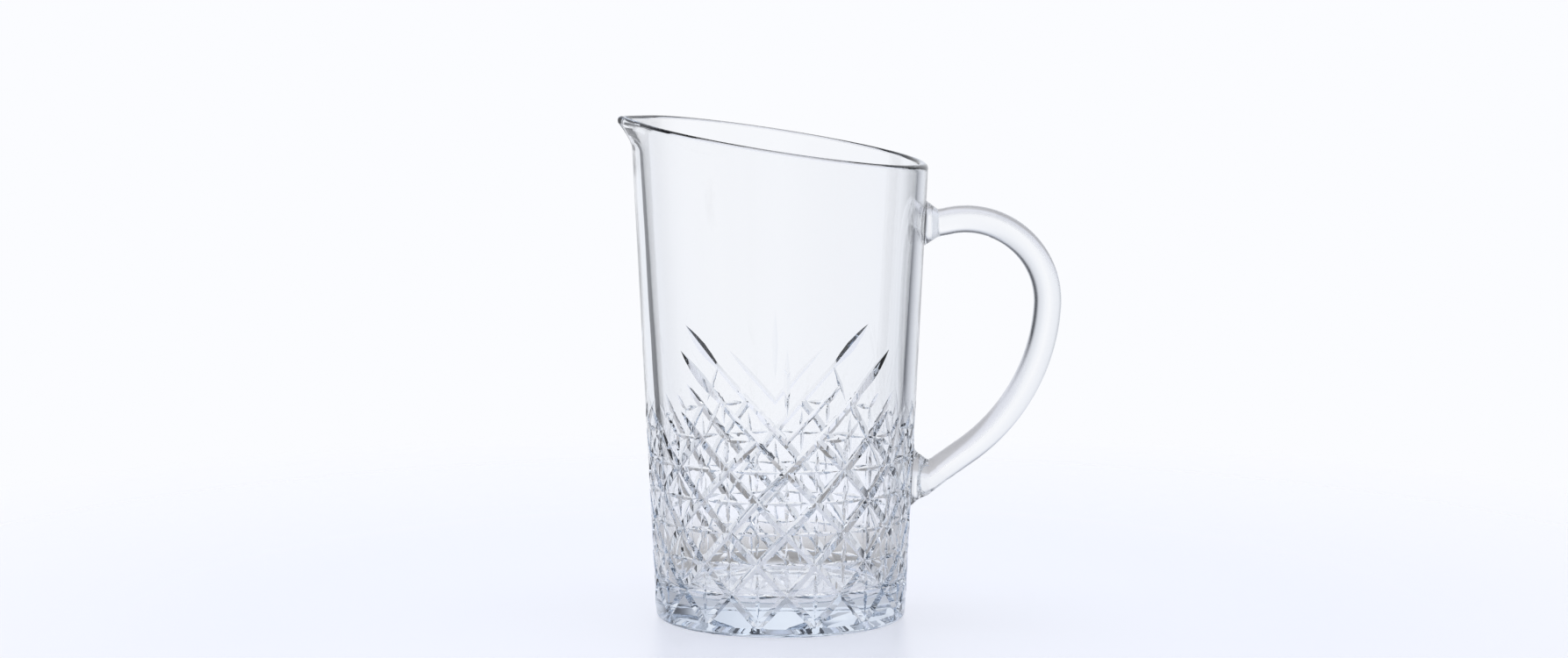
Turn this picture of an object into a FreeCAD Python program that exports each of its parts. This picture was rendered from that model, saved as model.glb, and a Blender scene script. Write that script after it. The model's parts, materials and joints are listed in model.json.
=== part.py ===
"""Glass mixing jug with a beak and an applied handle: a parametric FreeCAD document.

The jug is a thick pressed-glass tumbler whose mouth slopes up to a pointed pouring beak. Its handle is
a bent solid glass rod with a squashed foot at each end. A thin clear bond joins each foot to the wall.

Frame: millimetres, +Z up, origin on the axis of the body in the plane that it stands on.
The handle is on the +X side and the beak on the -X side.
"""

import FreeCAD, Part
import math
import os
import re

import Sketcher

doc = FreeCAD.newDocument("mixing_jug")

# ---------------------------------------------------------------------------
# Driving dimensions
# ---------------------------------------------------------------------------
SIZES = [
    # body, outside
    ("base_radius", 45.77, "outer radius of the tapered wall, carried down to the standing plane"),
    ("wall_slope", 0.0481, "outer radius gained per millimetre of height"),
    ("blank_top", 200.0, "height of the blank before its mouth is cut"),
    ("mouth_cut_reach", 91.54, "distance from the axis to which the mouth cut reaches on both sides"),
    ("mouth_cut_top", 240.0, "height to which the mouth cut reaches"),
    ("heel_round", 1.9, "radius where the wall turns under the base"),
    # mouth
    ("mouth_height", 175.5, "height of the sloping mouth plane on the axis"),
    ("mouth_slope", 0.1564, "drop of the mouth plane per millimetre towards the handle"),
    ("lip_round", 1.1, "radius on both edges of the lip"),
    # body, inside
    ("floor_height", 11.5, "thickness of the base on the axis"),
    ("bore_radius", 40.3, "inner radius of the wall at the height of the floor"),
    ("bore_slope", 0.0630, "inner radius gained per millimetre of height"),
    ("floor_round", 6.5, "radius where the floor turns up into the wall"),
    # underside
    ("ring_radius", 36.0, "inner edge of the flat standing ring"),
    ("recess_radius", 31.0, "radius of the recess where its slope ends"),
    ("recess_depth", 1.8, "height of the recess above the standing plane"),
    # beak
    ("beak_root_height", 171.0, "height where the beak leaves the wall"),
    ("beak_mid_height", 177.0, "height of the middle section of the beak"),
    ("beak_top_height", 190.0, "height of the top section of the beak"),
    ("beak_root_reach", 52.6, "distance of the beak from the axis at its root"),
    ("beak_mid_reach", 55.3, "distance of the beak from the axis at its middle section"),
    ("beak_top_reach", 65.6, "distance of the beak from the axis at its top section"),
    ("beak_tip_round", 5.2, "radius of the tip of the beak, seen from above"),
    ("beak_tangent_back", 48.3, "distance from the axis to where the beak's sides meet the wall"),
    ("beak_tangent_side", 23.4, "half the width of the beak where its sides meet the wall"),
    ("lip_wall", 3.3, "thickness of the glass along the beak"),
    ("tip_tightening", 0.6, "radius that the channel's tip loses per millimetre of glass"),
    ("side_tightening", 0.3, "half width that the channel loses per millimetre of glass"),
    # handle rod
    ("rod_top_radius", 5.1, "radius of the handle rod at its upper end"),
    ("rod_foot_radius", 5.75, "radius of the handle rod at its lower end"),
    ("shoulder_x", 67.6, "axis of the tight upper bend, distance from the body's axis"),
    ("shoulder_z", 116.0, "axis of the tight upper bend, height"),
    ("shoulder_bend", 30.3, "radius of the upper bend, to the centre of the rod"),
    ("shoulder_start", 112.5, "angle of the upper end of the rod around the upper bend, degrees"),
    ("shoulder_end", -3.0, "angle where the upper bend becomes the lower one, degrees"),
    ("sweep_bend", 70.0, "radius of the long lower bend, to the centre of the rod"),
    ("sweep_end", -55.0, "angle around the lower bend where the rod becomes straight, degrees"),
    ("tail_length", 26.0, "length of the straight lower end, before it is trimmed to the wall"),
    # handle feet
    ("upper_foot_height", 145.2, "height of the centre of the upper foot"),
    ("upper_foot_radius", 8.6, "radius of the upper foot at the wall"),
    ("upper_foot_inner_x", 52.4, "distance from the axis to the wide end of the upper foot"),
    ("upper_foot_outer_x", 57.6, "distance from the axis to where the upper foot becomes the rod"),
    ("lower_foot_inner_x", 47.4, "distance from the axis to the wide section of the lower foot"),
    ("lower_foot_mid_x", 50.6, "distance from the axis to the middle section of the lower foot"),
    ("lower_foot_outer_x", 54.2, "distance from the axis to where the lower foot becomes the rod"),
    ("lower_foot_inner_z", 52.0, "height of the centre of the wide section of the lower foot"),
    ("lower_foot_mid_z", 51.3, "height of the centre of the middle section of the lower foot"),
    ("lower_foot_outer_z", 50.9, "height of the centre of the outer section of the lower foot"),
    ("lower_foot_inner_half", 12.0, "half the height of the wide section of the lower foot"),
    ("lower_foot_mid_half", 8.6, "half the height of the middle section of the lower foot"),
    ("lower_foot_outer_half", 6.6, "half the height of the outer section of the lower foot"),
    ("lower_foot_inner_width", 8.6, "half the width of the wide section of the lower foot"),
    ("lower_foot_mid_width", 6.9, "half the width of the middle section of the lower foot"),
    ("lower_foot_outer_width", 5.7, "half the width of the outer section of the lower foot"),
    # bonds
    ("bond_gap", 0.2, "thickness of the clear bond between each foot and the wall"),
    ("bond_inset", 0.5, "distance of the bond's edge inside the edge of the foot"),
]

sheet = doc.addObject("Spreadsheet::Sheet", "sizes")
for row, (alias, value, meaning) in enumerate(SIZES, start=1):
    sheet.set(f"A{row}", alias)
    sheet.set(f"B{row}", str(value))
    sheet.set(f"C{row}", meaning)
    sheet.setAlias(f"B{row}", alias)
doc.recompute()
NAMES = {alias for alias, _, _ in SIZES}


# ---------------------------------------------------------------------------
# Helpers
# ---------------------------------------------------------------------------
def size(alias):
    """The value of one driving dimension."""
    return float(sheet.get(alias))


def bound(text):
    """An expression in which each driving dimension is read from the sheet."""
    return re.sub(r"[a-z_]+", lambda word: f"sizes.{word[0]}" if word[0] in NAMES else word[0], text)


def value_of(text):
    """The present value of such an expression, used to place geometry before it is constrained."""
    result = sheet.evalExpression(bound(text))
    return float(getattr(result, "Value", result))


def make_body(label):
    body = doc.addObject("PartDesign::Body", label)
    body.Label = label
    return body


def make_sketch(body, name, role, offset=None):
    """A sketch on one of the body's own origin planes, moved along the plane's normal by an expression."""
    plane = next(f for f in body.Origin.OriginFeatures if f.Role == role)
    sketch = body.newObject("Sketcher::SketchObject", name)
    sketch.AttachmentSupport = [(plane, "")]
    sketch.MapMode = "FlatFace"
    if offset:
        sketch.setExpression(".AttachmentOffset.Base.z", bound(offset))
    return sketch


def pin(sketch, geometry, vertex, across, up):
    """Hold a vertex at two expressions. The text "0" puts it on the axis of the sketch."""
    for kind, axis, text in (("DistanceX", -2, across), ("DistanceY", -1, up)):
        if text == "0":
            sketch.addConstraint(Sketcher.Constraint("PointOnObject", geometry, vertex, axis))
            continue
        made = sketch.addConstraint(Sketcher.Constraint(kind, -1, 1, geometry, vertex, value_of(text)))
        sketch.setExpression(f"Constraints[{made}]", bound(text))


def outline(sketch, corners):
    """A closed polygon through corners that are pairs of expressions."""
    points = [FreeCAD.Vector(value_of(across), value_of(up), 0) for across, up in corners]
    count = len(points)
    for index, point in enumerate(points):
        sketch.addGeometry(Part.LineSegment(point, points[(index + 1) % count]), False)
    for index in range(count):
        sketch.addConstraint(Sketcher.Constraint("Coincident", index, 2, (index + 1) % count, 1))
    for index, (across, up) in enumerate(corners):
        pin(sketch, index, 1, across, up)


def turned(body, kind, sketch, name):
    """A full turn of a sketch about the body's axis, added or cut away."""
    axis = next(f for f in body.Origin.OriginFeatures if f.Role == "Z_Axis")
    feature = body.newObject(kind, name)
    feature.Profile = sketch
    feature.ReferenceAxis = (axis, [""])
    feature.Angle = 360.0
    return feature


def rounded(body, name, radius, picks):
    """A fillet on the edges of the body so far that picks says yes to."""
    base = body.Tip
    edges = [f"Edge{i}" for i, edge in enumerate(base.Shape.Edges, start=1) if picks(edge)]
    if not edges:
        raise RuntimeError(f"{name}: no edge to round")
    feature = body.newObject("PartDesign::Fillet", name)
    feature.Base = (base, edges)
    feature.setExpression("Radius", bound(radius))
    doc.recompute()
    return feature


def removed(body, before):
    """Stop if the last feature of the body cut nothing away."""
    doc.recompute()
    if body.Shape.Volume > before - 1.0:
        raise RuntimeError(f"{body.Tip.Label} cut nothing")
    return body.Shape.Volume


# ---------------------------------------------------------------------------
# Vessel: tapered wall, thick base, sloping mouth and beak, in one pressed piece
# ---------------------------------------------------------------------------
def beak_section(body, name, height, reach, inset):
    """One level of the beak: two straight sides that meet in a round tip, closed behind by a chord."""
    sketch = make_sketch(body, name, "XY_Plane", height)
    tip = value_of(f"{reach} - {inset}")
    tip_radius = value_of(f"beak_tip_round - {inset} * tip_tightening")
    back = f"beak_tangent_back - {inset}"
    side = f"beak_tangent_side - {inset} * side_tightening"
    centre = FreeCAD.Vector(-(tip - tip_radius), 0, 0)
    # angle of the straight side, tangent to the tip and through the corner where it meets the wall
    corner = FreeCAD.Vector(-value_of(back), value_of(side), 0)
    gap = corner - centre
    lean = math.atan2(gap.y, gap.x) + math.acos(tip_radius / gap.Length)
    touch = centre + FreeCAD.Vector(math.cos(lean), math.sin(lean), 0) * tip_radius
    mirror = FreeCAD.Vector(touch.x, -touch.y, 0)
    opposite = FreeCAD.Vector(corner.x, -corner.y, 0)
    upper = sketch.addGeometry(Part.LineSegment(corner, touch), False)
    circle = Part.Circle(centre, FreeCAD.Vector(0, 0, 1), tip_radius)
    arc = sketch.addGeometry(Part.ArcOfCircle(circle, lean, 2 * math.pi - lean), False)
    lower = sketch.addGeometry(Part.LineSegment(mirror, opposite), False)
    chord = sketch.addGeometry(Part.LineSegment(opposite, corner), False)
    sketch.addConstraint(Sketcher.Constraint("Tangent", upper, 2, arc, 1))
    sketch.addConstraint(Sketcher.Constraint("Tangent", arc, 2, lower, 1))
    sketch.addConstraint(Sketcher.Constraint("Coincident", lower, 2, chord, 1))
    sketch.addConstraint(Sketcher.Constraint("Coincident", chord, 2, upper, 1))
    pin(sketch, arc, 3, f"beak_tip_round - {inset} * tip_tightening - ({reach} - {inset})", "0")
    radius = sketch.addConstraint(Sketcher.Constraint("Radius", arc, tip_radius))
    sketch.setExpression(f"Constraints[{radius}]", bound(f"beak_tip_round - {inset} * tip_tightening"))
    pin(sketch, upper, 1, f"-1 * ({back})", side)
    pin(sketch, lower, 2, f"-1 * ({back})", f"-1 * ({side})")
    return sketch


def beak_loft(body, kind, name, inset):
    """The beak or the channel inside it, lofted through its three levels."""
    levels = [
        ("root", "beak_root_height", "beak_root_reach"),
        ("middle", "beak_mid_height", "beak_mid_reach"),
        ("top", "beak_top_height", "beak_top_reach"),
    ]
    sections = [
        beak_section(body, f"{name}_{level}", height, reach, inset) for level, height, reach in levels
    ]
    loft = body.newObject(kind, name)
    loft.Profile = sections[0]
    loft.Sections = sections[1:]
    loft.Ruled = False
    return loft


def make_vessel():
    body = make_body("vessel")

    # tapered blank
    blank = make_sketch(body, "blank_outline", "XZ_Plane")
    top_radius = "base_radius + wall_slope * blank_top"
    outline(blank, [("0", "0"), ("base_radius", "0"), (top_radius, "blank_top"), ("0", "blank_top")])
    turned(body, "PartDesign::Revolution", blank, "blank_turned")
    doc.recompute()

    # beak, which leans out of the wall
    beak_loft(body, "PartDesign::AdditiveLoft", "beak", "0")
    doc.recompute()
    volume = body.Shape.Volume

    # sloping mouth
    mouth = make_sketch(body, "mouth_outline", "XZ_Plane")
    outline(mouth, [
        ("-1 * mouth_cut_reach", "mouth_height + mouth_slope * mouth_cut_reach"),
        ("mouth_cut_reach", "mouth_height - mouth_slope * mouth_cut_reach"),
        ("mouth_cut_reach", "mouth_cut_top"),
        ("-1 * mouth_cut_reach", "mouth_cut_top"),
    ])
    cut = body.newObject("PartDesign::Pocket", "mouth_cut")
    cut.Profile = mouth
    cut.Type = "ThroughAll"
    cut.Midplane = True
    volume = removed(body, volume)

    # inside of the body
    bore = make_sketch(body, "bore_outline", "XZ_Plane")
    bore_top = "bore_radius + bore_slope * (blank_top - floor_height)"
    outline(bore, [
        ("0", "floor_height"),
        ("bore_radius", "floor_height"),
        (bore_top, "blank_top"),
        ("0", "blank_top"),
    ])
    turned(body, "PartDesign::Groove", bore, "bore_cut")
    volume = removed(body, volume)

    # channel that leads out to the tip of the beak
    beak_loft(body, "PartDesign::SubtractiveLoft", "beak_channel", "lip_wall")
    volume = removed(body, volume)

    # recess that leaves a flat standing ring
    recess = make_sketch(body, "recess_outline", "XZ_Plane")
    outline(recess, [
        ("0", "0"),
        ("ring_radius", "0"),
        ("recess_radius", "recess_depth"),
        ("0", "recess_depth"),
    ])
    turned(body, "PartDesign::Groove", recess, "recess_cut")
    removed(body, volume)

    def ring(edge, radius, height):
        curve = edge.Curve
        if not isinstance(curve, Part.Circle):
            return False
        return abs(curve.Radius - radius) < 0.01 and abs(curve.Center.z - height) < 0.01

    heel_radius = size("base_radius")
    rounded(body, "heel", "heel_round", lambda edge: ring(edge, heel_radius, 0))
    floor = size("floor_height")
    rounded(body, "floor_corner", "floor_round", lambda edge: ring(edge, size("bore_radius"), floor))

    def on_mouth(edge):
        level = size("mouth_height")
        slope = size("mouth_slope")
        return all(abs(v.Z - (level - slope * v.X)) < 0.01 for v in edge.Vertexes) and (
            abs(edge.CenterOfMass.z - (level - slope * edge.CenterOfMass.x)) < 0.01
        )

    rounded(body, "lip", "lip_round", on_mouth)
    return body


# ---------------------------------------------------------------------------
# Handle: a bent solid rod with a squashed foot at each end, trimmed to the wall
# ---------------------------------------------------------------------------
# The lower bend's centre, the rod's two ends and the joint of the two bends, as expressions
SWEEP_X = "shoulder_x - (sweep_bend - shoulder_bend) * cos(shoulder_end)"
SWEEP_Z = "shoulder_z - (sweep_bend - shoulder_bend) * sin(shoulder_end)"
START_X = "shoulder_x + shoulder_bend * cos(shoulder_start)"
START_Z = "shoulder_z + shoulder_bend * sin(shoulder_start)"
JOINT_Z = "shoulder_z + shoulder_bend * sin(shoulder_end)"
TAIL_X = f"{SWEEP_X} + sweep_bend * cos(sweep_end) + tail_length * sin(sweep_end)"
TAIL_Z = f"{SWEEP_Z} + sweep_bend * sin(sweep_end) - tail_length * cos(sweep_end)"


def rod_line(body):
    """The centre line of the rod: a tight upper bend, a long lower bend and a straight tail."""
    upward = FreeCAD.Vector(0, 0, 1)
    start, joint, end = (math.radians(size(n)) for n in ("shoulder_start", "shoulder_end", "sweep_end"))

    def around(centre, radius, angle):
        return centre + FreeCAD.Vector(math.cos(angle), math.sin(angle), 0) * radius

    shoulder = FreeCAD.Vector(value_of("shoulder_x"), value_of("shoulder_z"), 0)
    sweep = FreeCAD.Vector(value_of(SWEEP_X), value_of(SWEEP_Z), 0)
    knee = around(sweep, size("sweep_bend"), end)
    tail = FreeCAD.Vector(value_of(TAIL_X), value_of(TAIL_Z), 0)

    path = make_sketch(body, "rod_path", "XZ_Plane")
    bends = ((shoulder, "shoulder_bend", joint, start), (sweep, "sweep_bend", end, joint))
    for centre, alias, low, high in bends:
        circle = Part.Circle(centre, upward, size(alias))
        arc = path.addGeometry(Part.ArcOfCircle(circle, low, high), False)
        radius = path.addConstraint(Sketcher.Constraint("Radius", arc, size(alias)))
        path.setExpression(f"Constraints[{radius}]", bound(alias))
    straight = path.addGeometry(Part.LineSegment(knee, tail), False)
    path.addConstraint(Sketcher.Constraint("Tangent", 0, 1, 1, 2))
    path.addConstraint(Sketcher.Constraint("Tangent", 1, 1, straight, 1))
    pin(path, 0, 3, "shoulder_x", "shoulder_z")
    pin(path, straight, 2, TAIL_X, TAIL_Z)
    for kind, vertex, text in (("DistanceX", 2, START_X), ("DistanceY", 1, JOINT_Z)):
        made = path.addConstraint(Sketcher.Constraint(kind, -1, 1, 0, vertex, value_of(text)))
        path.setExpression(f"Constraints[{made}]", bound(text))
    return path


def rod_section(body, name, across, up, angle, radius):
    """A round section square to the centre line, where the line has turned by an angle."""
    sketch = make_sketch(body, name, "YZ_Plane")
    sketch.AttachmentOffset = FreeCAD.Placement(
        FreeCAD.Vector(0, value_of(up), value_of(across)),
        FreeCAD.Rotation(FreeCAD.Vector(1, 0, 0), 90 - value_of(angle)),
    )
    sketch.setExpression(".AttachmentOffset.Base.y", bound(up))
    sketch.setExpression(".AttachmentOffset.Base.z", bound(across))
    sketch.addGeometry(Part.Circle(FreeCAD.Vector(), FreeCAD.Vector(0, 0, 1), size(radius)), False)
    sketch.addConstraint(Sketcher.Constraint("Coincident", 0, 3, -1, 1))
    made = sketch.addConstraint(Sketcher.Constraint("Radius", 0, size(radius)))
    sketch.setExpression(f"Constraints[{made}]", bound(radius))
    return sketch


def foot_section(body, name, across, up, half, width):
    """An oval section of a foot, upright, at a distance from the axis of the body."""
    sketch = make_sketch(body, name, "YZ_Plane", across)
    centre = FreeCAD.Vector(0, value_of(up), 0)
    top = centre + FreeCAD.Vector(0, value_of(half), 0)
    side = centre + FreeCAD.Vector(value_of(width), 0, 0)
    sketch.addGeometry(Part.Ellipse(top, side, centre), False)
    sketch.exposeInternalGeometry(0)
    pin(sketch, 0, 3, "0", up)
    for axis, text in ((1, half), (2, width)):
        full = sketch.addConstraint(Sketcher.Constraint("Distance", axis, 1, axis, 2, 2 * value_of(text)))
        sketch.setExpression(f"Constraints[{full}]", bound(f"2 * {text}"))
    sketch.addConstraint(Sketcher.Constraint("Vertical", 1))
    return sketch


def foot_loft(body, name, sections):
    loft = body.newObject("PartDesign::AdditiveLoft", name)
    loft.Profile = sections[0]
    loft.Sections = sections[1:]
    doc.recompute()
    return loft


def make_handle():
    body = make_body("handle")
    path = rod_line(body)
    upper_end = rod_section(body, "rod_upper_end", START_X, START_Z, "shoulder_start", "rod_top_radius")
    lower_end = rod_section(body, "rod_lower_end", TAIL_X, TAIL_Z, "sweep_end", "rod_foot_radius")
    rod = body.newObject("PartDesign::AdditivePipe", "rod")
    rod.Profile = upper_end
    rod.Spine = (path, ["Edge1", "Edge2", "Edge3"])
    rod.Sections = [lower_end]
    rod.Transformation = "Multisection"
    doc.recompute()

    round_foot = []
    for level, across, radius in (
        ("wide", "upper_foot_inner_x", "upper_foot_radius"),
        ("narrow", "upper_foot_outer_x", "rod_top_radius"),
    ):
        sketch = make_sketch(body, f"upper_foot_{level}", "YZ_Plane", across)
        centre = FreeCAD.Vector(0, size("upper_foot_height"), 0)
        sketch.addGeometry(Part.Circle(centre, FreeCAD.Vector(0, 0, 1), size(radius)), False)
        pin(sketch, 0, 3, "0", "upper_foot_height")
        made = sketch.addConstraint(Sketcher.Constraint("Radius", 0, size(radius)))
        sketch.setExpression(f"Constraints[{made}]", bound(radius))
        round_foot.append(sketch)
    foot_loft(body, "upper_foot", round_foot)

    oval_foot = [
        foot_section(
            body,
            f"lower_foot_{level}",
            f"lower_foot_{level}_x",
            f"lower_foot_{level}_z",
            f"lower_foot_{level}_half",
            f"lower_foot_{level}_width",
        )
        for level in ("inner", "mid", "outer")
    ]
    foot_loft(body, "lower_foot", oval_foot)

    # the feet follow the wall, with room for the bond
    volume = body.Shape.Volume
    wall = make_sketch(body, "wall_outline", "XZ_Plane")
    outline(wall, [
        ("0", "0"),
        ("base_radius + bond_gap", "0"),
        ("base_radius + bond_gap + wall_slope * blank_top", "blank_top"),
        ("0", "blank_top"),
    ])
    turned(body, "PartDesign::Groove", wall, "wall_trim")
    removed(body, volume)
    return body


# ---------------------------------------------------------------------------
# Bonds: a thin clear sheet between each foot and the wall
# ---------------------------------------------------------------------------
def make_bond(label, up, half, width):
    """The part of a sleeve round the wall that lies behind a foot."""
    sleeve = []
    for layer, skin in (("outer", "bond_gap"), ("inner", "0 * bond_gap")):
        cone = doc.addObject("Part::Cone", f"{label}_{layer}")
        cone.setExpression("Radius1", bound(f"base_radius + {skin}"))
        cone.setExpression("Radius2", bound(f"base_radius + wall_slope * blank_top + {skin}"))
        cone.setExpression("Height", bound("blank_top"))
        sleeve.append(cone)
    ring = doc.addObject("Part::Cut", f"{label}_sleeve")
    ring.Base, ring.Tool = sleeve

    oval = doc.addObject("Part::Ellipse", f"{label}_oval")
    oval.Placement = FreeCAD.Placement(FreeCAD.Vector(), FreeCAD.Rotation(FreeCAD.Vector(0, 1, 0), -90))
    oval.setExpression("MajorRadius", bound(f"{half} - bond_inset"))
    oval.setExpression("MinorRadius", bound(f"{width} - bond_inset"))
    oval.setExpression(".Placement.Base.z", bound(up))
    reach = doc.addObject("Part::Extrusion", f"{label}_reach")
    reach.Base = oval
    reach.Dir = FreeCAD.Vector(1, 0, 0)
    reach.Solid = True
    reach.setExpression("LengthFwd", bound("2 * base_radius"))

    bond = doc.addObject("Part::Common", label)
    bond.Base = ring
    bond.Tool = reach
    bond.Label = label
    doc.recompute()
    return bond


# ---------------------------------------------------------------------------
# Build, check and write
# ---------------------------------------------------------------------------
parts = [
    make_vessel(),
    make_handle(),
    make_bond("upper_bond", "upper_foot_height", "upper_foot_radius", "upper_foot_radius"),
    make_bond("lower_bond", "lower_foot_inner_z", "lower_foot_inner_half", "lower_foot_inner_width"),
]
doc.recompute()

failed = [item.Label for item in doc.Objects if {"Invalid", "Error"} & set(item.State)]
if failed:
    raise RuntimeError(f"objects that failed: {failed}")
os.makedirs("parts", exist_ok=True)
for part in parts:
    shape = part.Shape
    if shape.isNull() or not shape.isValid() or len(shape.Solids) != 1:
        raise RuntimeError(f"{part.Label} is not one valid solid")
    shape.exportStep(os.path.join("parts", f"{part.Label}.step"))
    box = shape.BoundBox
    print(f"{part.Label:12s} volume {shape.Volume / 1000:8.2f} ml  "
          f"x {box.XMin:.1f}..{box.XMax:.1f}  y {box.YMin:.1f}..{box.YMax:.1f}  "
          f"z {box.ZMin:.1f}..{box.ZMax:.1f}")
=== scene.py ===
# %% [markdown]
# # A cut-glass mixing jug
#
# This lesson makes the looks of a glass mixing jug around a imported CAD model. The jug is one heavy
# pressed-glass body with a slanted mouth and a pouring beak, one bent glass handle, and two thin clear
# bonds that hold the handle's feet. The CAD model says where everything is. Here each piece gets the
# surface that the eye sees: mainly the deep diamond cutting, which only works as real geometry, because
# glass shows the shape of its far side as clearly as its near side.

import json
import math

import bmesh
import bpy
import numpy as np
from mathutils import Matrix, Vector

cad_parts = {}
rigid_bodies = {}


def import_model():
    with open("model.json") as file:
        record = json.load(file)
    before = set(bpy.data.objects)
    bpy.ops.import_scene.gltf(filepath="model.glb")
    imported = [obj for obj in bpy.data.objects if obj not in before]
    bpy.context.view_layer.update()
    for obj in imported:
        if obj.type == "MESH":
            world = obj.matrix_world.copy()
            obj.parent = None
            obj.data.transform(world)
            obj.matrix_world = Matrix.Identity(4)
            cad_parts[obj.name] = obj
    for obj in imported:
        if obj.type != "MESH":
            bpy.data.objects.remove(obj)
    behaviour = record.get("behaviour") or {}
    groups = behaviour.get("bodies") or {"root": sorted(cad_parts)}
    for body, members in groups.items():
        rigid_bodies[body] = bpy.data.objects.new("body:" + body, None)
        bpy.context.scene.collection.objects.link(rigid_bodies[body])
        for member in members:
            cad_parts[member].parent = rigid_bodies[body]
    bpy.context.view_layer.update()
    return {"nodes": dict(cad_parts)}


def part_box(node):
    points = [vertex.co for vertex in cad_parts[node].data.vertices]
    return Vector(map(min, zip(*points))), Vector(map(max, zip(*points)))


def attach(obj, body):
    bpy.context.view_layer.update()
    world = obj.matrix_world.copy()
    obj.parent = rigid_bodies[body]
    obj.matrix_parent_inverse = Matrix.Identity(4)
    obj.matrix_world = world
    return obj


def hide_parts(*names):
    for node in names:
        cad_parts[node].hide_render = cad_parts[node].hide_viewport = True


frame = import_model()
for leftover in [thing for thing in bpy.data.objects if thing.name in ("Cube", "Light", "Camera")]:
    bpy.data.objects.remove(leftover)
MM = 0.001
wall_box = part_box("vessel")
handle_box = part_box("handle")
print("CAD nodes:", ", ".join(sorted(frame["nodes"])))
print("vessel is", round((wall_box[1].z - wall_box[0].z) / MM, 1), "mm high")
print("handle reaches", round(handle_box[1].x / MM, 1), "mm from the axis")

# %% [markdown]
# ## Small tools
#
# Colours are easy to pick as sRGB hex values, but a shader works in linear light, so one function turns
# one into the other. A few more put nodes in a material, where each input takes a number, a colour or
# the output of another node. The last one turns a bmesh into an object that keeps hard creases hard and
# rolls smoothly over everything else.

# %% Colours, nodes and objects
def linear(hex_colour):
    """An sRGB hex colour as linear red, green, blue and alpha."""
    values = [int(hex_colour[i:i + 2], 16) / 255 for i in (1, 3, 5)]
    return [v / 12.92 if v <= 0.04045 else ((v + 0.055) / 1.055) ** 2.4 for v in values] + [1.0]


def socket(node, name):
    """A node's input by name or number, passing over those that its settings have switched off."""
    if isinstance(name, int):
        return node.inputs[name]
    return next(entry for entry in node.inputs if entry.name == name and entry.enabled)


def add_node(tree, kind, settings=None, inputs=None):
    """One node of a kind, with its settings, and a value or a source for each input that needs one."""
    node = tree.nodes.new(kind)
    for name, value in (settings or {}).items():
        setattr(node, name, value)
    for name, value in (inputs or {}).items():
        if isinstance(value, bpy.types.NodeSocket):
            tree.links.new(value, socket(node, name))
        else:
            socket(node, name).default_value = value
    return node


def empty_tree(owner):
    """The node tree of a material or a world, switched on and emptied."""
    owner.use_nodes = True
    owner.node_tree.nodes.clear()
    return owner.node_tree


def maths(tree, operation, first, second):
    """The result of one operation on two numbers or sources."""
    node = add_node(tree, "ShaderNodeMath", {"operation": operation}, {0: first, 1: second})
    return node.outputs["Value"]


def ranged(tree, source, low, high, at_low=0.0, at_high=1.0):
    """A source's value, moved from one range to another and held at its ends."""
    ends = {"From Min": low, "From Max": high, "To Min": at_low, "To Max": at_high}
    return add_node(tree, "ShaderNodeMapRange", inputs={"Value": source, **ends}).outputs["Result"]


def mixed(tree, factor, first, second, kind="MIX"):
    """Two colours or colour sources, mixed by a factor."""
    settings = {"data_type": "RGBA", "blend_type": kind}
    node = add_node(tree, "ShaderNodeMix", settings, {"Factor": factor, "A": first, "B": second})
    return next(entry for entry in node.outputs if entry.enabled)


CORNER, EDGE, FACE = bmesh.types.BMVert, bmesh.types.BMEdge, bmesh.types.BMFace


def among(parts, kind):
    """Those of a mix of corners, edges and faces that are of one kind."""
    return [part for part in parts if isinstance(part, kind)]


def ring_corners(edges):
    """The corners of a ring of edges, each once."""
    return list(dict.fromkeys(corner for edge in edges for corner in edge.verts))


def finished(bm, name, material, crease=None):
    """The bmesh as a smooth object of one material, with edges over crease degrees kept sharp."""
    mesh = bpy.data.meshes.new(name)
    bm.to_mesh(mesh)
    bm.free()
    mesh.shade_smooth()
    if crease:
        mesh.set_sharp_from_angle(angle=math.radians(crease))
    mesh.materials.append(material)
    piece = bpy.data.objects.new(name, mesh)
    bpy.context.scene.collection.objects.link(piece)
    print(f"{name}: {len(mesh.vertices)} corners, {len(mesh.polygons)} faces")
    return piece


# %% [markdown]
# ## The glass
#
# Bar glassware is soda-lime glass, pressed in an iron mould and fire-polished. It bends light a little
# less than lead crystal, with an IOR of about 1.52, and traces of metal in it leave a faint blue that
# shows only where light crosses a lot of it, as in the base. So the surface itself is colourless, and
# the tint sits in a volume that soaks up a little red over each centimetre. Fire polish leaves shallow
# waves a few centimetres long, which a very weak bump adds, so that no highlight is ruler-straight.

# %% Glass materials
SODA_LIME_IOR = 1.52


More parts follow.
